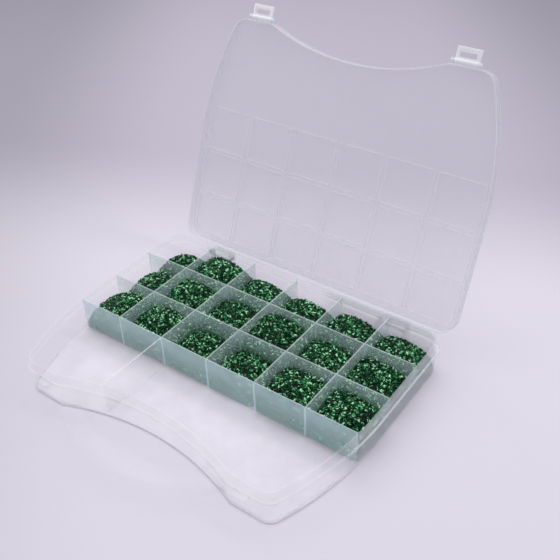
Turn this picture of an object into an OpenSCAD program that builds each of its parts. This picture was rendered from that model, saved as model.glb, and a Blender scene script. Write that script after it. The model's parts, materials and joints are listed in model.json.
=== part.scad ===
// Bead organizer box: a shallow compartment tray with a carry handle, a hinged lid and two
// fold-over latches, with a heap of seed beads in each small compartment.
// It is drawn with the lid leaning back on its hinge stops and the latches straight out.
// The origin is the middle of the tray's underside, +X is to the right and +Y is the hinge side.

/* [Compartments] */
// Columns of small compartments
col_n = 6; // [4:1:8]
// Rows of small compartments
row_n = 3; // [2:1:4]
// Width of a column, from divider to divider
col_pitch = 44; // [38:1:56]
// Depth of a row, from divider to divider
row_pitch = 40; // [34:1:52]
// Thickness of each divider
divider_t = 1.2; // [0.8:0.1:1.8]
// Column line that the front divider stands on, counted from the left wall
front_divider_col = 2; // [1:1:3]

/* [Tray] */
// Height of the tray
tray_h = 30; // [28:0.5:44]
// Thickness of the outer wall
wall_t = 1.6; // [1:0.1:2.2]
// Thickness of the floor
floor_t = 1.5; // [1:0.1:3]
// Depth of the long front compartments
front_depth = 75; // [62:1:90]
// Radius of the long curve of each side
side_r = 250; // [230:5:400]
// How far behind the grid front wall the curve of each side begins
side_curve_start = 26; // [10:1:40]
// Radius of the two front corners
front_corner_r = 11; // [6:0.5:14]
// Radius of the two back corners
back_corner_r = 13; // [6:0.5:18]
// Depth of the curved bay in the front wall
bay_depth = 16; // [8:1:22]
// Half the width of the bay
bay_half_w = 79; // [68:0.5:80]

/* [Handle] */
// Reach of the handle in front of the front corners
handle_reach = 34; // [26:1:45]
// Width of the grip bar
handle_bar_w = 17; // [10:1:22]
// Height of the grip bar
handle_bar_h = 10; // [6:0.5:12]
// Height of the grip bar's underside above the table
handle_z = 8; // [2:0.5:9]
// Half the outside width of the handle where it joins the tray
handle_half_w = 76; // [60:1:77]
// Half the width of the finger opening where it meets the tray
finger_half_w = 55; // [40:1:60]

/* [Lid] */
// Thickness of the lid panel
lid_t = 1.5; // [1:0.1:2.5]
// Depth of the lid skirt
skirt_h = 8; // [6:0.5:10]
// Thickness of the lid skirt
skirt_t = 1.2; // [1:0.1:1.6]
// Gap between the skirt and the tray wall
skirt_clear = 0.7; // [0.7:0.1:1.2]
// Gap under the closed lid
seat_gap = 0.3; // [0.2:0.05:0.5]
// Angle from closed to the open stop
lid_open = 110; // [95:1:115]
// Height of the sealing ribs under the lid
rib_h = 1.5; // [1:0.1:2]
// Thickness of the sealing ribs
rib_t = 0.9; // [0.7:0.1:1.2]
// Gap between a sealing rib and a divider
rib_clear = 0.8; // [0.6:0.1:1.2]
// Gap between the rearmost rib and the back wall, which it swings past
rib_back_clear = 3.2; // [3:0.1:5]

/* [Ledge] */
// Thickness of the ledge under the lid skirt
ledge_t = 1.6; // [1:0.1:2.4]
// How far the ledge stands out past the skirt
ledge_lip = 0.4; // [0.2:0.1:1]

/* [Hinges] */
// Distance from the middle of the box to each hinge
hinge_x = 88; // [60:1:100]
// Radius of the hinge barrel
barrel_r = 3; // [2.6:0.1:3.4]
// Length of the hinge barrel
barrel_l = 20; // [12:1:30]
// Radius of the hinge pin
pin_r = 1.5; // [1.1:0.1:1.7]
// Running clearance of every pin in its bore
pin_clear = 0.06; // [0.03:0.01:0.1]
// Side play of the hinge barrel and of the latch barrel
side_play = 0.4; // [0.3:0.05:0.6]
// Thickness of each hinge ear
ear_t = 3.2; // [2.4:0.1:5]
// Wall round the pin in each hinge ear
ear_wall = 1.9; // [1.5:0.1:1.9]
// Gap between a hinge arm and the ledge, and between the arm and its stop
arm_gap = 0.4; // [0.3:0.05:0.6]
// Thickness of the hinge arm where it leaves the skirt
arm_t = 3; // [2:0.1:4]
// Thickness of the stop bar
stop_t = 2; // [1.5:0.1:3]
// Height of the stop bar
stop_h = 3.5; // [2.5:0.1:4]
// How far the ears reach past the stop bar
stop_cover = 0.6; // [0.3:0.1:1]
// How far an ear's foot starts below the top of its eye
ear_foot_drop = 0.4; // [0.2:0.1:0.8]

/* [Latches] */
// Distance from the middle of the box to each latch
latch_x = 91; // [86:0.5:92]
// Width of each latch
latch_w = 19; // [14:0.5:20]
// Length of each latch below its axis
latch_l = 10.6; // [9.5:0.1:12]
// Thickness of each latch
latch_t = 2; // [1.6:0.1:2.4]
// Radius of the latch barrel
latch_barrel_r = 2; // [1.8:0.1:2.3]
// Radius of the latch pin
latch_pin_r = 1; // [0.8:0.05:1.1]
// Thickness of each latch ear on the lid
latch_ear_t = 2.2; // [1.6:0.1:2.6]
// Width of the lug that the latch hooks over
lug_w = 12; // [6:0.5:12]
// Height of the lug
lug_h = 2.2; // [1.6:0.1:2.4]
// Gap above the lug and beside it in the latch window
lug_gap = 0.5; // [0.4:0.05:0.6]
// Gap under the lug, which the latch swings past
lug_under = 0.9; // [0.8:0.1:1.2]
// How far the lug comes through the latch
lug_nose = 0.4; // [0.2:0.1:0.5]
// Height of latch between the barrel and the window
latch_bridge = 1.2; // [1:0.1:1.6]

/* [Beads] */
// Radius of the rounded top of each bead heap
heap_dome_r = 46; // [42:1:60]
// Share of the photographed bead level
heap_fill = 1; // [0.8:0.05:1.1]

/* [Hidden] */
$fn = 48;

// Each heap, front row first: how high its top is above the floor, and how far the top lies to the
// right of the compartment's middle and behind it
heaps = [
    [[20, 6, 3], [20, -3, 6], [15, -1, 4], [14, -6, 5], [20, -1, 6], [19, -4, 8]],
    [[15, 4, 8], [21, -8, 8], [20, -4, 3], [24, -6, 6], [19, -3, 3], [20, -8, 8]],
    [[11, -2, 4], [24, -8, -1], [17, -7, 0], [15, -8, 0], [19, -7, -2], [18, -8, -5]],
];
// Segments in each curve of the outlines
side_steps = 14;
corner_steps = 6;
bay_steps = 20;
// A margin that cuts are carried past a surface by
past = 1;

half_w = col_n * col_pitch / 2 + wall_t / 2;
tray_depth = front_depth + row_n * row_pitch + wall_t / 2;
front_y = -tray_depth / 2;
back_y = tray_depth / 2;
grid_y = front_y + front_depth;
side_curve_y = grid_y + side_curve_start;
side_curve_x = half_w - side_r;
front_corner_y = front_y + front_corner_r;
front_corner_x = side_curve_x
    + sqrt(pow(side_r - front_corner_r, 2) - pow(front_corner_y - side_curve_y, 2));
bay_r = (pow(bay_half_w, 2) + pow(bay_depth, 2)) / (2 * bay_depth);
bay_cy = front_y + bay_depth - bay_r;
grid_h = tray_h - floor_t;

lid_z = tray_h + seat_gap;
skirt_z = lid_z - skirt_h;
skirt_out = skirt_clear + skirt_t;
ledge_out = skirt_out + ledge_lip;
ledge_z = skirt_z - seat_gap - ledge_t;

bore_r = pin_r + pin_clear;
ear_r = pin_r + ear_wall;
hinge_y = back_y + ledge_out + arm_gap + barrel_r;
hinge_z = ledge_z - ear_r;
stop_up = barrel_r;

latch_bore_r = latch_pin_r + pin_clear;
latch_y = front_y - skirt_out - side_play - latch_barrel_r;
window_top = latch_bridge + latch_barrel_r;
window_h = lug_gap + lug_h + lug_under;
latch_z = ledge_z + lug_gap + window_top;
lug_tip_y = latch_y - latch_barrel_r - lug_nose;

function arc_points(cx, cy, r, a0, a1, n) =
    [for (i = [0:n]) let (a = a0 + (a1 - a0) * i / n) [cx + r * cos(a), cy + r * sin(a)]];

function reversed(list) = [for (i = [len(list) - 1:-1:0]) list[i]];

// The right half of the tray's outline, from the front corner to the back corner
function right_side(d) =
    let (meet = atan2(front_corner_y - side_curve_y, front_corner_x - side_curve_x))
    concat(
        arc_points(front_corner_x, front_corner_y, front_corner_r - d, -90, meet, corner_steps),
        arc_points(side_curve_x, side_curve_y, side_r - d, meet, 0, side_steps),
        arc_points(half_w - back_corner_r, back_y - back_corner_r, back_corner_r - d, 0, 90, corner_steps)
    );

// The curved bay of the front wall, from left to right
function bay_curve(d) =
    let (reach = acos((front_y + d - bay_cy) / (bay_r + d)))
    arc_points(0, bay_cy, bay_r + d, 90 + reach, 90 - reach, bay_steps);

// The tray's outline, moved inwards by d
function tray_outline(d) =
    let (right = right_side(d), left = reversed([for (q = right) [-q[0], q[1]]]))
    concat(right, left, bay_curve(d));

function column_x(c) = (c - col_n / 2) * col_pitch;
function row_y(r) = grid_y + r * row_pitch;

// A wall that follows the outline, between two insets
module outline_ring(d_out, d_in, z, h) {
    translate([0, 0, z])
        linear_extrude(h)
            difference() {
                polygon(tray_outline(d_out));
                polygon(tray_outline(d_in));
            }
}

// Keeps what lies inside the tray's wall and above its floor
module inside_tray() {
    intersection() {
        children();
        translate([0, 0, floor_t]) linear_extrude(grid_h) polygon(tray_outline(wall_t));
    }
}

// Puts a piece drawn on the closed lid where the open lid holds it
module on_open_lid() {
    translate([0, hinge_y, hinge_z])
        rotate([-lid_open, 0, 0])
            translate([0, -hinge_y, -hinge_z])
                children();
}

module tray_floor() {
    color("#e2e6ea") linear_extrude(floor_t) polygon(tray_outline(0));
}

module tray_wall() {
    color("#dde3e8") {
        outline_ring(0, wall_t, floor_t, grid_h);
        outline_ring(-ledge_out, wall_t, ledge_z, ledge_t);
    }
}

// A full-width plate on the row line at y
module row_plate(y) {
    inside_tray()
        translate([-half_w, y - divider_t / 2, floor_t])
            cube([2 * half_w, divider_t, grid_h]);
}

module grid_front_wall() {
    color("#d5dde2") row_plate(grid_y);
}

module row_divider(r) {
    color("#d5dde2") row_plate(row_y(r));
}

module column_divider(r, c) {
    y0 = row_y(r - 1) + divider_t / 2;
    y1 = r == row_n ? back_y : row_y(r) - divider_t / 2;
    color("#d5dde2")
        inside_tray()
            translate([column_x(c) - divider_t / 2, y0, floor_t])
                cube([divider_t, y1 - y0, grid_h]);
}

module front_divider() {
    color("#d5dde2")
        inside_tray()
            translate([column_x(front_divider_col) - divider_t / 2, front_y, floor_t])
                cube([divider_t, front_depth - divider_t / 2, grid_h]);
}

// The area inside one arc of the handle, which meets the line of the front corners at +-half_span
module handle_arc(half_span, reach) {
    r = (pow(half_span, 2) + pow(reach, 2)) / (2 * reach);
    a = asin(half_span / r);
    polygon(concat(
        arc_points(0, front_y - reach + r, r, -90 - a, -90 + a, bay_steps),
        [[half_span, front_y + bay_depth], [-half_span, front_y + bay_depth]]
    ));
}

module carry_handle() {
    color("#dfe3e9")
        translate([0, 0, handle_z])
            linear_extrude(handle_bar_h)
                difference() {
                    handle_arc(handle_half_w, handle_reach);
                    handle_arc(finger_half_w, handle_reach - handle_bar_w);
                    polygon(tray_outline(0));
                }
}

// The profile of a hinge ear, drawn as [y, z] from the hinge axis
module ear_profile() {
    to_wall = back_y - hinge_y;
    difference() {
        union() {
            circle(ear_r);
            polygon([
                [to_wall, ear_r - ear_foot_drop],
                [0, ear_r - ear_foot_drop],
                [ear_r - ear_foot_drop, 0],
                stop_point(arm_back + stop_t + stop_cover, stop_up + stop_h + stop_cover),
                [to_wall, -2 * stop_up - stop_h - ear_r],
            ]);
        }
        circle(bore_r);
    }
}

// How far the back of the hinge arm stands behind the hinge axis, with its gap to the stop
arm_back = barrel_r + arm_gap;

// A point of the closed arm's frame, [y, z] from the hinge axis, where it is with the lid open
function stop_point(y, z) = [
    y * cos(lid_open) + z * sin(lid_open),
    z * cos(lid_open) - y * sin(lid_open)
];

// Two ears on the back wall and the bar between them that stops the lid
module hinge_bracket(side) {
    span = barrel_l + 2 * side_play;
    color("#d5dde2")
        translate([side * hinge_x, hinge_y, hinge_z]) {
            for (s = [-1, 1])
                translate([s * (span + ear_t) / 2 - ear_t / 2, 0, 0])
                    rotate([90, 0, 90])
                        linear_extrude(ear_t)
                            ear_profile();
            rotate([-lid_open, 0, 0])
                translate([-span / 2 - ear_t / 2, arm_back, stop_up])
                    cube([span + ear_t, stop_t, stop_h]);
        }
}

// The lug under the ledge that a latch hooks over
module latch_lug(side) {
    color("#d5dde2")
        translate([side * latch_x - lug_w / 2, lug_tip_y, ledge_z - lug_h])
            cube([lug_w, front_y - lug_tip_y, lug_h]);
}

module lid_panel() {
    color("#e6e9ee")
        on_open_lid()
            translate([0, 0, lid_z])
                linear_extrude(lid_t)
                    polygon(tray_outline(-skirt_out));
}

module lid_skirt() {
    color("#e6e9ee") on_open_lid() outline_ring(-skirt_out, -skirt_clear, skirt_z, skirt_h);
}

// The part of a compartment's opening that lies in from its walls by d more than the rib gap
module compartment_area(x0, x1, y0, y1, d) {
    inset = rib_clear + d;
    back = y1 >= back_y ? back_y - wall_t - rib_back_clear - d : y1 - divider_t / 2 - inset;
    intersection() {
        polygon(tray_outline(wall_t + inset));
        translate([x0 + divider_t / 2 + inset, y0 + divider_t / 2 + inset])
            square([x1 - x0 - divider_t - 2 * inset, back - y0 - divider_t / 2 - inset]);
    }
}

// The closed rib that fits just inside one compartment's opening
module sealing_rib(x0, x1, y0, y1) {
    translate([0, 0, lid_z - rib_h])
        linear_extrude(rib_h)
            difference() {
                compartment_area(x0, x1, y0, y1, 0);
                compartment_area(x0, x1, y0, y1, rib_t);
            }
}

module lid_ribs() {
    color("#eceff3")
        on_open_lid()
            for (r = [1:row_n], c = [1:col_n])
                sealing_rib(column_x(c - 1), column_x(c), row_y(r - 1), r == row_n ? back_y : row_y(r));
}

// The arm that joins the skirt to a hinge barrel, and the barrel with its two pins
module lid_hinge(side) {
    skirt_face = back_y + skirt_out;
    color("#e6e9ee")
        on_open_lid()
            translate([side * hinge_x, hinge_y, hinge_z]) {
                rotate([0, 90, 0]) {
                    cylinder(h = barrel_l, r = barrel_r, center = true);
                    cylinder(h = barrel_l + 2 * (side_play + ear_t), r = pin_r, center = true);
                }
                translate([-barrel_l / 2, 0, 0])
                    cube([barrel_l, barrel_r, skirt_z - hinge_z + arm_t]);
                translate([-barrel_l / 2, skirt_face - hinge_y, skirt_z - hinge_z])
                    cube([barrel_l, hinge_y - skirt_face + barrel_r, arm_t]);
            }
}

// Two ears on the front of the skirt, bored for the pins of a latch
module latch_ears(side) {
    span = latch_w + 2 * side_play;
    foot = skirt_z - latch_z;
    color("#e6e9ee")
        on_open_lid()
            translate([side * latch_x, latch_y, latch_z])
                for (s = [-1, 1])
                    translate([s * (span + latch_ear_t) / 2 - latch_ear_t / 2, 0, 0])
                        rotate([90, 0, 90])
                            linear_extrude(latch_ear_t)
                                difference() {
                                    union() {
                                        circle(latch_barrel_r);
                                        translate([0, foot])
                                            square([front_y - skirt_out - latch_y, latch_barrel_r - foot]);
                                    }
                                    circle(latch_bore_r);
                                }
}

// A latch, straight out from the lid's edge: its barrel, pins, plate with a window and heel
module latch(side) {
    heel = front_y - skirt_out - latch_y - side_play;
    plate_z = latch_barrel_r - latch_t;
    color("#f1f3f6")
        on_open_lid()
            translate([side * latch_x, latch_y, latch_z])
                difference() {
                    union() {
                        rotate([0, 90, 0]) {
                            cylinder(h = latch_w, r = latch_barrel_r, center = true);
                            cylinder(h = latch_w + 2 * (side_play + latch_ear_t), r = latch_pin_r,
                                center = true);
                        }
                        translate([-latch_w / 2, -latch_l, plate_z])
                            cube([latch_w, latch_l + heel, latch_t]);
                    }
                    translate([-lug_w / 2 - lug_gap, -window_top - window_h, plate_z - past])
                        cube([lug_w + 2 * lug_gap, window_h, latch_t + 2 * past]);
                }
}

// The beads of one compartment, in a rounded heap
module bead_heap(r, c) {
    heap = heaps[(r - 1) % len(heaps)][(c - 1) % len(heaps[0])];
    level = floor_t + heap_fill * heap[0];
    x0 = column_x(c - 1) + divider_t / 2;
    y0 = row_y(r - 1) + divider_t / 2;
    x1 = c == col_n ? half_w : column_x(c) - divider_t / 2;
    y1 = r == row_n ? back_y : row_y(r) - divider_t / 2;
    color("#0f4a2c")
        inside_tray()
            intersection() {
                translate([c == 1 ? -half_w : x0, y0, 0])
                    cube([x1 - (c == 1 ? -half_w : x0), y1 - y0, tray_h]);
                translate([(x0 + x1) / 2 + heap[1], (y0 + y1) / 2 + heap[2], level - heap_dome_r])
                    sphere(heap_dome_r);
            }
}

tray_floor();
tray_wall();
grid_front_wall();
front_divider();
carry_handle();
for (r = [1:row_n - 1])
    row_divider(r);
for (r = [1:row_n], c = [1:col_n - 1])
    column_divider(r, c);
hinge_bracket(-1);  // hinge_bracket_left
hinge_bracket(1);  // hinge_bracket_right
latch_lug(-1);  // latch_lug_left
latch_lug(1);  // latch_lug_right
lid_panel();
lid_skirt();
lid_ribs();
lid_hinge(-1);  // lid_hinge_left
lid_hinge(1);  // lid_hinge_right
latch_ears(-1);  // latch_ears_left
latch_ears(1);  // latch_ears_right
latch(-1);  // latch_left
latch(1);  // latch_right
for (r = [1:row_n], c = [1:col_n])
    bead_heap(r, c);
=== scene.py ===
"""Dresses the bead organizer box in frosted plastic and fills its compartments with seed beads."""

import json
import random
from math import cos, pi, radians, sin

import bpy
from bpy.props import FloatProperty, FloatVectorProperty, IntProperty, PointerProperty
from bpy.types import Operator, Panel, PropertyGroup
from mathutils import Euler, Matrix, Vector
from mathutils.bvhtree import BVHTree


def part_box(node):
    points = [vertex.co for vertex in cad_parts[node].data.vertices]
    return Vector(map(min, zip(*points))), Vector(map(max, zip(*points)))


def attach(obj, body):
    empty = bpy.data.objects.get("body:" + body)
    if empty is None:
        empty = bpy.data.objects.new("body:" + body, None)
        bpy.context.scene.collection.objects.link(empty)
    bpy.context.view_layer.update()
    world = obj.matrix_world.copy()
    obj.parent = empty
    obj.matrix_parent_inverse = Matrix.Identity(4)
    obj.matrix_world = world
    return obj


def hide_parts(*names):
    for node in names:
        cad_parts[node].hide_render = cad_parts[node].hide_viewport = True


bl_info = {
    "name": "Bead organizer box",
    "version": (1, 0, 0),
    "blender": (4, 5, 0),
    "location": "View3D > Sidebar > Bead box",
    "description": "Finishes the bead organizer box and fills its compartments",
    "category": "Object",
}

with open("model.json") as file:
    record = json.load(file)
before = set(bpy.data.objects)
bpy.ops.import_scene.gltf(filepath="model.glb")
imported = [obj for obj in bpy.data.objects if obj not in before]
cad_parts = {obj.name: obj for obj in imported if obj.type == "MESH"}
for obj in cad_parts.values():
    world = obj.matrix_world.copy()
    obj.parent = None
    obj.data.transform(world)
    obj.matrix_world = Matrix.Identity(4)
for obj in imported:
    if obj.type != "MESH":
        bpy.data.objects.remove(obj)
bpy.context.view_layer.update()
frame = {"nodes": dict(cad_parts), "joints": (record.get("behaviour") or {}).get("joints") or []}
NODES = frame["nodes"]

MM = 0.001
ROWS = (1, 2, 3)
COLUMNS = (1, 2, 3, 4, 5, 6)
SIDES = ("left", "right")
HEAPS = [f"bead_heap_{row}_{column}" for row in ROWS for column in COLUMNS]
ROW_DIVIDERS = ["row_divider_1", "row_divider_2"]
COLUMN_DIVIDERS = [f"column_divider_{row}_{column}" for row in ROWS for column in COLUMNS[:-1]]
JOINTS = {joint["name"]: joint for joint in frame["joints"]}
LID_OPEN = radians(JOINTS["lid_hinge"]["range_deg"][1])
RIGHT = Vector((1, 0, 0))
UP = Vector((0, 0, 1))
LID_UP = Matrix.Rotation(-LID_OPEN, 3, "X") @ UP
# From one column divider to the next
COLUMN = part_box("column_divider_1_2")[0][0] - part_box("column_divider_1_1")[0][0]

# The camera and the stage
PHOTO_PX = 560
SENSOR_MM = 36
NEAR_CLIP = 0.01
FLOOR_SPAN = 12
FLOOR_GAP = 0.1 * MM
FLOOR_ROUGHNESS = 0.6
FLOOR_SPECULAR = 0.1
SKY = (0.98, 0.98, 1.0, 1)
KEY_PLACE = (-0.5, 0.35, 1.0)
KEY_TARGET = (0, 0.05, 0)
KEY_SIZE = 0.9
GLINT_PLACE = (0.35, 0.5, 0.9)
GLINT_TARGET = (0, 0, 0)
GLINT_SIZE = 0.12

# The plastic. Scales of noise are in features a metre
CLOUD_SCALE = 45.0
GRAIN_SCALE = 2600.0
GRAIN_DEPTH = 0.03 * MM
# Share of the body colour that is left in a darker cloud
CLOUD_SHADE = 0.94
# Opacity and roughness vary between these shares of what is asked for
LEAST_SHARE = 0.8
MOST_SHARE = 1.2
BODY_ROUGHNESS = 0.32
LATCH_ROUGHNESS = 0.28
RIB_ROUGHNESS = 0.25
EDGE_ROUGHNESS = 0.22
PLASTIC_IOR = 1.49
# The outer wall is painted hazier and paler along this direction, over this stretch of it: painted light on
# its right and back
PAINTED_LIGHT_WAY = (0.8, 0.6, 0)
PAINTED_LIGHT_RUN = (75 * MM, 95 * MM)
# The dividers turn hazier upwards, where no bead touches them, between these two heights
RISE_RUN = (10 * MM, 26 * MM)
# Seams are pale lines painted where a column divider meets a wall: a painted highlight on the divider's end
# A seam fades in from the first distance off its middle to the second
SEAM_RUN = (1.1 * MM, 0.4 * MM)

# The glass. Stops are the tones of the darkest, the middle and the brightest of three colours; the
# brightest is a painted glint, and the darkest of the loose beads painted shade
BEAD_STOPS = (0.54, 0.71, 0.88)
PACKED_STOPS = (0.0, 0.92, 1.0)
# Streaks are painted highlights and painted shade running over the beads
STREAK_SCALE = 900.0
# Most that a streak adds to a tone or takes from it
STREAK = 0.25
BEAD_ROUGHNESS = 0.12
BEAD_SPECULAR = 0.15
GLASS_IOR = 1.52
CELL_SCALE = 700.0
CELL_DEPTH = 0.6 * MM
CELL_RELIEF = 0.3
PACKED_ROUGHNESS = 0.3

# The moulded pieces
MERGE_GAP = 1e-6
FLAT_TURN = radians(0.5)
# Edges sharper than this are rounded
EDGE_TURN = radians(40)
SMOOTH_TURN = radians(35)
# Faces on a rounded edge and faces that look up are painted paler and more opaque: a painted highlight
# A face is on a rounded edge when the rise of its normal lies between these two
ROUNDED = (0.1, 0.97)
# A face looks up when its normal rises more than this, and no normal rises as much as NO_RIM
RIM_SHARE = 0.5
NO_RIM = 2
HANDLE_ROUND = 1.2 * MM
THIN_ROUND = 0.2 * MM
EAR_ROUND = 0.15 * MM

# The lie of the beads
BEAD_SMOOTH_TURN = radians(65)
# Share of a bead's tone that all its faces have in common. The tone picks painted shade, green glass or a
# painted glint
BEAD_SHARE = 0.5
# How much narrower than its heap a core is
CORE_GAP = 0.3 * MM
# Depths of the two layers under the heap's top, and a bead's own lift, in bead radii
UPPER_LAYER = 0.55
LOWER_LAYER = 1.9
LIFT = (-0.7, 0.25)
# Least distances from a heap's edge and from its foot, in bead lengths
EDGE_ROOM = 0.55
FOOT_ROOM = 0.6
# Step between rows, and the jitter, in steps between beads
ROW_STEP = 0.87
JITTER = 0.35
# Least rise of the normal where a bead can lie
STEEPEST = 0.3
# Spread of a bead's tilt out of its layer, in radians
PITCH_SPREAD = 0.45
# Height above a heap's top where the rays start, in metres
RAY_START = 0.05


def color_setting(name, about, value):
    return FloatVectorProperty(name=name, description=about, default=value, subtype="COLOR", min=0, max=1)


def share_setting(name, about, value):
    return FloatProperty(name=name, description=about, default=value, subtype="FACTOR", min=0, max=1)


def length_setting(name, about, value, least=0.0):
    return FloatProperty(name=name, description=about, default=value, min=least, unit="LENGTH")


def angle_setting(name, about, value):
    return FloatProperty(name=name, description=about, default=radians(value), subtype="ANGLE")


class CameraSettings(PropertyGroup):
    """Where the photograph was taken from"""

    azimuth: angle_setting("Azimuth", "Turn round the box from straight in front", 36.06)
    elevation: angle_setting("Elevation", "Height angle above the table", 36.41)
    roll: angle_setting("Roll", "Tilt about the line of sight", -1.37)
    distance: length_setting("Distance", "From the camera to the point that it looks at", 0.7163, least=0.2)
    target: FloatVectorProperty(name="Target", description="The point on the table that it looks at",
                                default=(-0.035, 0.1202, 0.0), subtype="TRANSLATION")
    focal_px: FloatProperty(name="Focal length", description="In pixels of the photograph's frame",
                            default=799.2, min=200)


class StageSettings(PropertyGroup):
    """The floor, its far shade and the lamps"""

    # The far colour and the side shade are painted shade on the even lilac paper
    near_color: color_setting("Near floor", "Floor round the box", (0.662, 0.626, 0.709))
    far_shade_color: color_setting("Far floor", "Floor well behind the box", (0.435, 0.404, 0.484))
    fade_start: length_setting("Fade start", "How far from below the camera the floor starts to dim", 0.55)
    fade_end: length_setting("Fade end", "How far from below the camera it is dim", 0.82)
    fade_turn: FloatProperty(name="Fade turn", description="How much sooner the floor dims to the right",
                             default=0.22)
    side_start: length_setting("Side start", "Distance to the side where the floor starts to dim", 0.15)
    side_end: length_setting("Side end", "Distance to the side where it is dim", 0.42)
    side_shift: FloatProperty(name="Side shift", description="How far right the middle of the light lies",
                              default=0.06, unit="LENGTH")
    side_shade: share_setting("Side shade", "What is left of the floor's colour at the sides", 0.72)
    world_strength: FloatProperty(name="World light", description="Even light from all round",
                                  default=0.78, min=0)
    key_power: FloatProperty(name="Key lamp", description="Power of the large soft lamp",
                             default=5.5, min=0, unit="POWER")
    glint_power: FloatProperty(name="Glint lamp", description="Power of the small lamp on the beads",
                               default=1.6, min=0, unit="POWER")


class PlasticSettings(PropertyGroup):
    """The frosted plastic of the tray, the lid and the latches. An opacity is that of one face"""

    tray_color: color_setting("Tray", "Body colour of the tray", (0.82, 0.82, 0.90))
    floor_color: color_setting("Tray floor", "Milky floor of the tray", (0.92, 0.88, 0.97))
    front_color: color_setting("Grid front", "Front wall of the grid, in full light", (0.64, 0.83, 0.87))
    divider_color: color_setting("Dividers", "Walls between the beads", (0.66, 0.82, 0.84))
    lid_color: color_setting("Lid", "Body colour of the lid", (0.74, 0.73, 0.80))
    # The ribs are painted paler than the panel: a painted highlight
    rib_color: color_setting("Ribs", "Sealing ribs of the lid", (0.90, 0.89, 0.96))
    # The edge colour and the edge opacities paint rims and rounded edges paler: a painted highlight
    edge_color: color_setting("Edges", "Edges, where light gathers", (0.82, 0.89, 0.93))
    latch_color: color_setting("Latches", "Milky latches", (0.93, 0.93, 0.97))
    tray_opacity: share_setting("Tray opacity", "Of the outer wall in front", 0.045)
    # The side opacity is painted light: it paints the right of the outer wall paler
    side_opacity: share_setting("Side opacity", "Of the outer wall on the right", 0.32)
    tray_edge_opacity: share_setting("Tray edge opacity", "Of the outer wall's edges", 0.14)
    floor_opacity: share_setting("Floor opacity", "Of the tray floor", 0.55)
    handle_opacity: share_setting("Handle opacity", "Of the handle", 0.025)
    front_opacity: share_setting("Grid front opacity", "Of its foot", 0.3)
    front_top_opacity: share_setting("Grid front top opacity", "Above the beads", 0.42)
    divider_opacity: share_setting("Divider opacity", "Of the foot of a divider", 0.10)
    divider_top_opacity: share_setting("Divider top opacity", "Above the beads", 0.26)
    # The seam opacity paints that pale line, a painted highlight
    seam_opacity: share_setting("Seam opacity", "Where a column divider meets a wall", 0.35)
    edge_opacity: share_setting("Edge opacity", "Of the dividers' edges", 0.36)
    lid_opacity: share_setting("Lid opacity", "Of the lid's panel and skirt", 0.21)
    lid_edge_opacity: share_setting("Lid edge opacity", "Of the lid's edges", 0.35)
    rib_opacity: share_setting("Rib opacity", "Of a sealing rib", 0.2)
    latch_opacity: share_setting("Latch opacity", "Of the latches", 0.7)
    edge_round: length_setting("Edge rounding", "Radius of the moulded edges", 0.3 * MM)


class BeadSettings(PropertyGroup):
    """The glass seed beads"""

    length: length_setting("Length", "Of one bead", 2.1 * MM, least=0.5 * MM)
    radius: length_setting("Radius", "Of one bead", 0.85 * MM, least=0.3 * MM)
    wall: length_setting("Glass", "Thickness of glass round the hole", 0.45 * MM, least=0.1 * MM)
    spacing: length_setting("Spacing", "Between neighbouring beads", 1.75 * MM, least=1 * MM)
    seed: IntProperty(name="Seed", description="Start of the random lie of the beads", default=7)
    # Deep glass is painted shade, and the silver lining is a painted glint
    deep_color: color_setting("Deep glass", "Beads in shade", (0.001, 0.016, 0.006))
    packed_color: color_setting("Packed glass", "Beads pressed against a wall", (0.006, 0.095, 0.032))
    mid_color: color_setting("Green glass", "Most beads", (0.003, 0.23, 0.062))
    glint_color: color_setting("Silver lining", "Beads whose lining catches the light", (0.46, 0.95, 0.54))


class BoxSettings(PropertyGroup):
    """All that can be changed on the box"""

    camera: PointerProperty(type=CameraSettings)
    stage: PointerProperty(type=StageSettings)
    plastic: PointerProperty(type=PlasticSettings)
    beads: PointerProperty(type=BeadSettings)


def settings():
    return bpy.context.scene.bead_box


# Materials


def new_material(name):
    """A material with its nodes cleared but for the shader and the output."""
    material = bpy.data.materials.new(name)
    material.use_nodes = True
    tree = material.node_tree
    tree.nodes.clear()
    output = tree.nodes.new("ShaderNodeOutputMaterial")
    shader = tree.nodes.new("ShaderNodeBsdfPrincipled")
    tree.links.new(shader.outputs["BSDF"], output.inputs["Surface"])
    return material, tree, shader


def object_place(tree):
    """Object coordinates."""
    return tree.nodes.new("ShaderNodeTexCoord").outputs["Object"]


def object_noise(tree, scale, detail):
    """Noise from 0 to 1 on object coordinates, scale in features a metre."""
    noise = tree.nodes.new("ShaderNodeTexNoise")
    noise.inputs["Scale"].default_value = scale
    noise.inputs["Detail"].default_value = detail
    tree.links.new(object_place(tree), noise.inputs["Vector"])
    return noise.outputs["Fac"]


def computed(tree, operation, source, other=0.0, clamp=False):
    """The result of a math node on source and other, which is a number or a node's output."""
    node = tree.nodes.new("ShaderNodeMath")
    node.operation = operation
    node.use_clamp = clamp
    tree.links.new(source, node.inputs[0])
    if isinstance(other, float):
        node.inputs[1].default_value = other
    else:
        tree.links.new(other, node.inputs[1])
    return node.outputs["Value"]


def ranged(tree, source, low, high):
    """source, from 0 to 1, mapped to low to high."""
    node = tree.nodes.new("ShaderNodeMapRange")
    node.inputs["To Min"].default_value = low
    node.inputs["To Max"].default_value = high
    tree.links.new(source, node.inputs["Value"])
    return node.outputs["Result"]


def smooth_step(tree, source, start, end):
    """0 up to start, 1 from end on, and smooth between them."""
    node = tree.nodes.new("ShaderNodeMapRange")
    node.interpolation_type = "SMOOTHSTEP"
    node.inputs["From Min"].default_value = start
    node.inputs["From Max"].default_value = end
    tree.links.new(source, node.inputs["Value"])
    return node.outputs["Result"]


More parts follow.
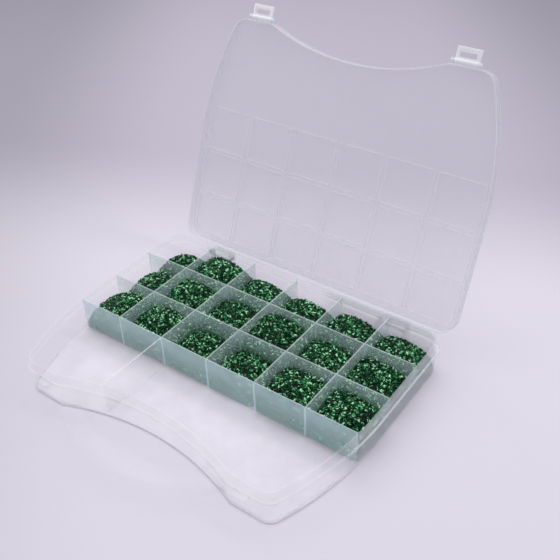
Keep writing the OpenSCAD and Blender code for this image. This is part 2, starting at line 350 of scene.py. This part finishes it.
def along(tree, vector, direction):
    """How far vector reaches along direction."""
    node = tree.nodes.new("ShaderNodeVectorMath")
    node.operation = "DOT_PRODUCT"
    node.inputs[1].default_value = direction
    tree.links.new(vector, node.inputs[0])
    return node.outputs["Value"]


def tinted(tree, source, dark, light):
    """A colour between dark and light, chosen by source."""
    mix = tree.nodes.new("ShaderNodeMix")
    mix.data_type = "RGBA"
    mix.inputs["A"].default_value = (*dark, 1)
    mix.inputs["B"].default_value = (*light, 1)
    tree.links.new(source, mix.inputs["Factor"])
    return mix.outputs["Result"]


def ramped(tree, source, stops, colors):
    """A colour chosen by source from three colours at three stops."""
    node = tree.nodes.new("ShaderNodeValToRGB")
    first, last = node.color_ramp.elements
    first.position = stops[0]
    last.position = stops[2]
    first.color = (*colors[0], 1)
    last.color = (*colors[2], 1)
    middle = node.color_ramp.elements.new(stops[1])
    middle.color = (*colors[1], 1)
    tree.links.new(source, node.inputs["Fac"])
    return node.outputs["Color"]


def bumped(tree, shader, source, distance, strength=0.4):
    """Surface relief of this depth, drawn from source."""
    bump = tree.nodes.new("ShaderNodeBump")
    bump.inputs["Strength"].default_value = strength
    bump.inputs["Distance"].default_value = distance
    tree.links.new(source, bump.inputs["Height"])
    tree.links.new(bump.outputs["Normal"], shader.inputs["Normal"])


def near_columns(tree):
    """1 on the lines where the column dividers meet a wall, and 0 between them."""
    aside = computed(tree, "PINGPONG", along(tree, object_place(tree), RIGHT), COLUMN / 2)
    return smooth_step(tree, aside, *SEAM_RUN)


def frosted_plastic(name, color, opacity, roughness=BODY_ROUGHNESS, haze_way=None, haze_run=None,
                    far_opacity=0.0, seam_opacity=0.0):
    """Clear plastic with a fine frosted grain, slightly uneven in cloud and tint.

    It may turn hazier along haze_way, which on the outer wall is painted light, and have paler seams at the
    column dividers, which are a painted highlight.
    """
    material, tree, shader = new_material(name)
    cloud = object_noise(tree, CLOUD_SCALE, 3.0)
    grain = object_noise(tree, GRAIN_SCALE, 1.0)
    shade = [CLOUD_SHADE * value for value in color]
    tree.links.new(tinted(tree, cloud, shade, color), shader.inputs["Base Color"])
    haze = ranged(tree, cloud, LEAST_SHARE * opacity, min(1.0, MOST_SHARE * opacity))
    if haze_way is not None:
        far = smooth_step(tree, along(tree, object_place(tree), haze_way), *haze_run)
        haze = computed(tree, "MULTIPLY", haze, ranged(tree, far, 1.0, far_opacity / opacity))
    if seam_opacity > 0:
        seam = ranged(tree, near_columns(tree), 0.0, seam_opacity)
        haze = computed(tree, "ADD", haze, seam, clamp=True)
    tree.links.new(haze, shader.inputs["Alpha"])
    gloss = ranged(tree, grain, LEAST_SHARE * roughness, MOST_SHARE * roughness)
    tree.links.new(gloss, shader.inputs["Roughness"])
    bumped(tree, shader, grain, GRAIN_DEPTH)
    shader.inputs["IOR"].default_value = PLASTIC_IOR
    return material


def bead_glass(name, beads):
    """Green glass with a silver lining: each bead has its own tone, which picks painted shade, green or a
    painted glint, and painted highlights run in streaks.
    """
    material, tree, shader = new_material(name)
    tone_with_painted_light = tree.nodes.new("ShaderNodeAttribute")
    tone_with_painted_light.attribute_name = "tone_with_painted_light"
    streak = ranged(tree, object_noise(tree, STREAK_SCALE, 1.0), -STREAK, STREAK)
    total = computed(tree, "ADD", tone_with_painted_light.outputs["Fac"], streak)
    green = ramped(tree, total, BEAD_STOPS, (beads.deep_color, beads.mid_color, beads.glint_color))
    tree.links.new(green, shader.inputs["Base Color"])
    shader.inputs["Roughness"].default_value = BEAD_ROUGHNESS
    shader.inputs["IOR"].default_value = GLASS_IOR
    shader.inputs["Specular IOR Level"].default_value = BEAD_SPECULAR
    return material


def packed_beads(name, beads):
    """The inside of a heap, seen between the beads and through the walls: small green cells, a few of them
    painted bright as painted glints.
    """
    material, tree, shader = new_material(name)
    cells = tree.nodes.new("ShaderNodeTexVoronoi")
    cells.inputs["Scale"].default_value = CELL_SCALE
    tree.links.new(object_place(tree), cells.inputs["Vector"])
    separate = tree.nodes.new("ShaderNodeSeparateColor")
    tree.links.new(cells.outputs["Color"], separate.inputs["Color"])
    # The brightest cells are painted glints
    green = ramped(tree, separate.outputs["Red"], PACKED_STOPS,
                   (beads.packed_color, beads.mid_color, beads.glint_color))
    tree.links.new(green, shader.inputs["Base Color"])
    bumped(tree, shader, cells.outputs["Distance"], CELL_DEPTH, CELL_RELIEF)
    shader.inputs["Roughness"].default_value = PACKED_ROUGHNESS
    return material


def floor_material(stage, view):
    """Lilac paper with painted shade: it is painted dimmer with the distance from below the camera, and to
    both sides.
    """
    material, tree, shader = new_material("lilac_paper")
    ahead = Vector((-sin(view.azimuth), cos(view.azimuth), 0))
    across = Vector((cos(view.azimuth), sin(view.azimuth), 0))
    ground = Vector(view.target) - ahead * cos(view.elevation) * view.distance
    offset = tree.nodes.new("ShaderNodeVectorMath")
    offset.operation = "SUBTRACT"
    offset.inputs[1].default_value = (ground.x, ground.y, 0)
    tree.links.new(object_place(tree), offset.inputs[0])
    away = ahead + stage.fade_turn * across
    far = smooth_step(tree, along(tree, offset.outputs["Vector"], away), stage.fade_start, stage.fade_end)
    shifted = computed(tree, "SUBTRACT", along(tree, offset.outputs["Vector"], across), stage.side_shift)
    aside = smooth_step(tree, computed(tree, "ABSOLUTE", shifted), stage.side_start, stage.side_end)
    shade = tree.nodes.new("ShaderNodeVectorMath")
    shade.operation = "SCALE"
    tree.links.new(tinted(tree, far, stage.near_color, stage.far_shade_color), shade.inputs[0])
    tree.links.new(ranged(tree, aside, 1.0, stage.side_shade), shade.inputs["Scale"])
    tree.links.new(shade.outputs["Vector"], shader.inputs["Base Color"])
    shader.inputs["Roughness"].default_value = FLOOR_ROUGHNESS
    shader.inputs["Specular IOR Level"].default_value = FLOOR_SPECULAR
    return material


# Pieces


def only(piece):
    """Selects one object and makes it active."""
    bpy.ops.object.select_all(action="DESELECT")
    piece.select_set(True)
    bpy.context.view_layer.objects.active = piece


def node_copy(node, name):
    """A new object on a copy of a CAD node's mesh, with its loose triangles merged into whole faces."""
    mesh = NODES[node].data.copy()
    mesh.materials.clear()
    mesh.name = name
    piece = bpy.data.objects.new(name, mesh)
    bpy.context.scene.collection.objects.link(piece)
    only(piece)
    bpy.ops.object.mode_set(mode="EDIT")
    bpy.ops.mesh.select_all(action="SELECT")
    bpy.ops.mesh.remove_doubles(threshold=MERGE_GAP)
    bpy.ops.mesh.dissolve_limited(angle_limit=FLAT_TURN)
    bpy.ops.object.mode_set(mode="OBJECT")
    return piece


def apply_modifier(piece, kind, **values):
    """Adds a modifier with these values and applies it."""
    modifier = piece.modifiers.new(kind.title(), kind)
    for key, value in values.items():
        setattr(modifier, key, value)
    only(piece)
    bpy.ops.object.modifier_apply(modifier=modifier.name)


def paint_edges(piece, up, share):
    """Gives the second material, painted paler and more opaque as a highlight, to the faces that look along
    up, or that lie on a rounded edge.
    """
    least, most = ROUNDED
    for face in piece.data.polygons:
        rise = face.normal.dot(up)
        if rise > share or least < abs(rise) < most:
            face.material_index = 1


def moulded(node, body, materials, up=UP, width=None, share=RIM_SHARE):
    """Stands for a CAD node with a copy of it that has rounded edges and brighter rims, which are a painted
    highlight.
    """
    piece = node_copy(node, node + "_moulded")
    width = settings().plastic.edge_round if width is None else width
    apply_modifier(piece, "BEVEL", width=width, segments=2, limit_method="ANGLE", angle_limit=EDGE_TURN)
    for material in materials:
        piece.data.materials.append(material)
    if len(materials) > 1:
        paint_edges(piece, up, share)
    only(piece)
    bpy.ops.object.shade_smooth_by_angle(angle=SMOOTH_TURN)
    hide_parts(node)
    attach(piece, body)


class BEADBOX_OT_camera(Operator):
    """Puts the camera where the photograph was taken from"""

    bl_idname = "beadbox.camera"
    bl_label = "Camera"

    def execute(self, context):
        view = settings().camera
        level = Vector((sin(view.azimuth), -cos(view.azimuth), 0)) * cos(view.elevation)
        back = level + UP * sin(view.elevation)
        right = (-back).cross(UP).normalized()
        up = right.cross(-back)
        turned_right = right * cos(view.roll) + up * sin(view.roll)
        turned_up = up * cos(view.roll) - right * sin(view.roll)
        data = bpy.data.cameras.new("camera")
        data.sensor_width = SENSOR_MM
        data.lens = SENSOR_MM * view.focal_px / PHOTO_PX
        data.clip_start = NEAR_CLIP
        camera = bpy.data.objects.new("camera", data)
        place = Matrix((turned_right, turned_up, back)).transposed().to_4x4()
        place.translation = Vector(view.target) + back * view.distance
        camera.matrix_world = place
        context.scene.collection.objects.link(camera)
        context.scene.camera = camera
        return {"FINISHED"}


def add_lamp(name, place, target, size, power):
    """A square soft lamp that points at target."""
    data = bpy.data.lights.new(name, "AREA")
    data.size = size
    data.energy = power
    lamp = bpy.data.objects.new(name, data)
    lamp.location = place
    lamp.rotation_euler = (Vector(target) - Vector(place)).to_track_quat("-Z", "Y").to_euler()
    bpy.context.scene.collection.objects.link(lamp)


class BEADBOX_OT_stage(Operator):
    """Adds the floor, the world light and the lamps"""

    bl_idname = "beadbox.stage"
    bl_label = "Stage"

    def execute(self, context):
        stage = settings().stage
        bpy.ops.object.select_all(action="DESELECT")
        bpy.ops.mesh.primitive_plane_add(size=FLOOR_SPAN, location=(0, 0, -FLOOR_GAP))
        floor = context.object
        floor.name = "floor"
        floor.data.materials.append(floor_material(stage, settings().camera))
        world = bpy.data.worlds.new("studio")
        world.use_nodes = True
        background = world.node_tree.nodes["Background"]
        background.inputs["Color"].default_value = SKY
        background.inputs["Strength"].default_value = stage.world_strength
        context.scene.world = world
        add_lamp("key_lamp", KEY_PLACE, KEY_TARGET, KEY_SIZE, stage.key_power)
        add_lamp("glint_lamp", GLINT_PLACE, GLINT_TARGET, GLINT_SIZE, stage.glint_power)
        return {"FINISHED"}


class BEADBOX_OT_tray(Operator):
    """Finishes the tray: floor, outer wall, dividers, handle, lugs and hinge brackets"""

    bl_idname = "beadbox.tray"
    bl_label = "Tray"

    def execute(self, context):
        plastic = settings().plastic
        rising = {"haze_way": UP, "haze_run": RISE_RUN}
        # The outer wall is painted hazier and paler towards its right and back: painted light
        wall = frosted_plastic("tray_plastic", plastic.tray_color, plastic.tray_opacity,
                               haze_way=PAINTED_LIGHT_WAY, haze_run=PAINTED_LIGHT_RUN, far_opacity=plastic.side_opacity)
        floor = frosted_plastic("tray_floor_plastic", plastic.floor_color, plastic.floor_opacity)
        # The rim and edge materials paint tops and rounded edges paler: a painted highlight
        rim = frosted_plastic("tray_rim_plastic", plastic.edge_color, plastic.tray_edge_opacity,
                              EDGE_ROUGHNESS)
        front = frosted_plastic("grid_front_plastic", plastic.front_color, plastic.front_opacity,
                                far_opacity=plastic.front_top_opacity, seam_opacity=plastic.seam_opacity,
                                **rising)
        column = frosted_plastic("divider_plastic", plastic.divider_color, plastic.divider_opacity,
                                 far_opacity=plastic.divider_top_opacity, **rising)
        edge = frosted_plastic("divider_edge_plastic", plastic.edge_color, plastic.edge_opacity,
                               EDGE_ROUGHNESS)
        row = frosted_plastic("row_divider_plastic", plastic.divider_color, plastic.divider_opacity,
                              far_opacity=plastic.divider_top_opacity, seam_opacity=plastic.seam_opacity,
                              **rising)
        grip = frosted_plastic("handle_plastic", plastic.tray_color, plastic.handle_opacity)
        moulded("tray_floor", "base", [floor])
        moulded("tray_wall", "base", [wall, rim])
        moulded("front_divider", "base", [wall, edge])
        moulded("grid_front_wall", "base", [front, edge])
        for node in ROW_DIVIDERS:
            moulded(node, "base", [row, edge])
        for node in COLUMN_DIVIDERS:
            moulded(node, "base", [column, edge])
        # The handle's top and rounded edges get the wall's plastic, painted more opaque: a painted
        # highlight
        moulded("carry_handle", "base", [grip, wall], width=HANDLE_ROUND)
        for side in SIDES:
            moulded("latch_lug_" + side, "base", [wall, rim])
            moulded("hinge_bracket_" + side, "base", [wall, rim], width=THIN_ROUND)
        return {"FINISHED"}


class BEADBOX_OT_lid(Operator):
    """Finishes the lid: panel, skirt, sealing ribs, hinge arms and latch ears"""

    bl_idname = "beadbox.lid"
    bl_label = "Lid"

    def execute(self, context):
        plastic = settings().plastic
        panel = frosted_plastic("lid_plastic", plastic.lid_color, plastic.lid_opacity)
        # The rim material paints the lid's rims and rounded edges paler: a painted highlight
        rim = frosted_plastic("lid_edge_plastic", plastic.edge_color, plastic.lid_edge_opacity,
                              EDGE_ROUGHNESS)
        # The ribs' paler colour is a painted highlight
        rib = frosted_plastic("lid_rib_plastic", plastic.rib_color, plastic.rib_opacity, RIB_ROUGHNESS)
        moulded("lid_panel", "lid", [panel, rim], LID_UP, share=NO_RIM)
        moulded("lid_skirt", "lid", [panel, rim], -LID_UP)
        moulded("lid_ribs", "lid", [rib], LID_UP, width=THIN_ROUND)
        for side in SIDES:
            moulded("lid_hinge_" + side, "lid", [panel, rim], LID_UP, width=THIN_ROUND)
            moulded("latch_ears_" + side, "lid", [rim], LID_UP, width=EAR_ROUND)
        return {"FINISHED"}


class BEADBOX_OT_latches(Operator):
    """Finishes the two milky latches"""

    bl_idname = "beadbox.latches"
    bl_label = "Latches"

    def execute(self, context):
        plastic = settings().plastic
        milky = frosted_plastic("latch_plastic", plastic.latch_color, plastic.latch_opacity,
                                LATCH_ROUGHNESS)
        for side in SIDES:
            moulded("latch_" + side, side + "_latch", [milky])
        return {"FINISHED"}


# Beads


def one_bead(beads):
    """The corners and faces of one bead: a short hexagonal tube along X, round the origin."""
    bpy.ops.object.select_all(action="DESELECT")
    bpy.ops.mesh.primitive_cylinder_add(vertices=6, radius=beads.radius, depth=beads.length,
                                        end_fill_type="NOTHING", rotation=(0, pi / 2, 0))
    bead = bpy.context.object
    bpy.ops.object.transform_apply(location=True, rotation=True, scale=True)
    apply_modifier(bead, "SOLIDIFY", thickness=beads.wall, offset=-1)
    corners = [vertex.co.copy() for vertex in bead.data.vertices]
    faces = [tuple(face.vertices) for face in bead.data.polygons]
    bpy.data.objects.remove(bead)
    return corners, faces


def heap_core(node, material, lowered):
    """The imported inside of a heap, a little smaller than the compartment."""
    core = node_copy(node, node + "_core")
    low, high = (Vector(corner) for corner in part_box(node))
    middle = (low + high) / 2
    size = high - low
    shrink = ((size.x - CORE_GAP) / size.x, (size.y - CORE_GAP) / size.y, (size.z - lowered) / size.z)
    only(core)
    bpy.ops.object.mode_set(mode="EDIT")
    bpy.ops.mesh.select_all(action="SELECT")
    bpy.ops.transform.resize(value=shrink, center_override=(middle.x, middle.y, low.z + CORE_GAP / 2))
    bpy.ops.object.mode_set(mode="OBJECT")
    core.data.materials.append(material)
    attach(core, "base")


def bead_places(node, beads, draw):
    """Where the beads of one heap lie: a jittered hexagonal layer on its top, and one just under that."""
    mesh = NODES[node].data
    tree = BVHTree.FromPolygons([v.co for v in mesh.vertices], [tuple(f.vertices) for f in mesh.polygons])
    low, high = (Vector(corner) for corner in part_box(node))
    margin = EDGE_ROOM * beads.length
    reach = [Vector((x, y, 0)) * margin for x, y in ((1, 0), (-1, 0), (0, 1), (0, -1))]
    step = beads.spacing
    rows = int((high.y - low.y) / (step * ROW_STEP))
    columns = int((high.x - low.x) / step)
    for layer, depth in enumerate((UPPER_LAYER * beads.radius, LOWER_LAYER * beads.radius)):
        for row in range(rows + 1):
            for column in range(columns + 1):
                stagger = 0.5 * ((row + layer) % 2)
                x = low.x + (column + stagger) * step + draw.uniform(-JITTER, JITTER) * step
                y = low.y + row * step * ROW_STEP + draw.uniform(-JITTER, JITTER) * step
                above = Vector((x, y, high.z + RAY_START))
                if any(tree.ray_cast(above + side, -UP)[0] is None for side in reach):
                    continue
                hit, normal, _, _ = tree.ray_cast(above, -UP)
                if hit is None or normal.z < STEEPEST:
                    continue
                place = hit + Vector((0, 0, draw.uniform(*LIFT) * beads.radius - depth))
                place.z = max(place.z, low.z + FOOT_ROOM * beads.length)
                yield place, normal, layer


def bead_layer_mesh(node, beads, corners, faces, draw):
    """One mesh with all the loose beads of a heap, each face with its tone, which picks painted shade,
    green or a painted glint.
    """
    points, polygons, tones_with_painted_light = [], [], []
    for place, normal, layer in bead_places(node, beads, draw):
        lie = Euler((draw.uniform(0, pi), draw.gauss(0, PITCH_SPREAD), draw.uniform(0, 2 * pi)), "XYZ")
        turn = UP.rotation_difference(normal).to_matrix() @ lie.to_matrix()
        start = len(points)
        points.extend(place + turn @ corner for corner in corners)
        polygons.extend(tuple(start + index for index in face) for face in faces)
        # The lower layer gets at most half the tone: painted shade under the upper layer
        tone_with_painted_light = draw.random() * (BEAD_SHARE if layer == 0 else BEAD_SHARE / 2)
        tones_with_painted_light.extend(tone_with_painted_light + draw.random() * (1 - BEAD_SHARE) for _ in faces)
    mesh = bpy.data.meshes.new(node + "_beads")
    mesh.from_pydata(points, [], polygons)
    mesh.attributes.new("tone_with_painted_light", "FLOAT", "FACE").data.foreach_set("value", tones_with_painted_light)
    return mesh


class BEADBOX_OT_beads(Operator):
    """Fills each small compartment with a heap of glass seed beads"""

    bl_idname = "beadbox.beads"
    bl_label = "Beads"

    def execute(self, context):
        beads = settings().beads
        glass = bead_glass("bead_glass", beads)
        packed = packed_beads("packed_bead_glass", beads)
        corners, faces = one_bead(beads)
        draw = random.Random(beads.seed)
        for node in HEAPS:
            heap_core(node, packed, LOWER_LAYER * beads.radius)
            mesh = bead_layer_mesh(node, beads, corners, faces, draw)
            mesh.materials.append(glass)
            piece = bpy.data.objects.new(node + "_beads", mesh)
            context.scene.collection.objects.link(piece)
            only(piece)
            bpy.ops.object.shade_smooth_by_angle(angle=BEAD_SMOOTH_TURN)
            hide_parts(node)
            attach(piece, "base")
        return {"FINISHED"}


class BEADBOX_PT_panel(Panel):
    """Lists what the box is made from"""

    bl_label = "Bead box"
    bl_space_type = "VIEW_3D"
    bl_region_type = "UI"
    bl_category = "Bead box"

    def draw(self, context):
        for step in STEPS:
            self.layout.operator(step.bl_idname)


GROUPS = (
    CameraSettings,
    StageSettings,
    PlasticSettings,
    BeadSettings,
    BoxSettings,
)
STEPS = (
    BEADBOX_OT_camera,
    BEADBOX_OT_stage,
    BEADBOX_OT_tray,
    BEADBOX_OT_lid,
    BEADBOX_OT_latches,
    BEADBOX_OT_beads,
)
CLASSES = GROUPS + STEPS + (BEADBOX_PT_panel,)


def register():
    for item in CLASSES:
        bpy.utils.register_class(item)
    bpy.types.Scene.bead_box = PointerProperty(type=BoxSettings)


def unregister():
    del bpy.types.Scene.bead_box
    for item in reversed(CLASSES):
        bpy.utils.unregister_class(item)


def main():
    register()
    bpy.context.scene.view_settings.view_transform = "Standard"
    bpy.ops.beadbox.camera()
    bpy.ops.beadbox.stage()
    bpy.ops.beadbox.tray()
    bpy.ops.beadbox.lid()
    bpy.ops.beadbox.latches()
    bpy.ops.beadbox.beads()


if __name__ == "__main__":
    main()
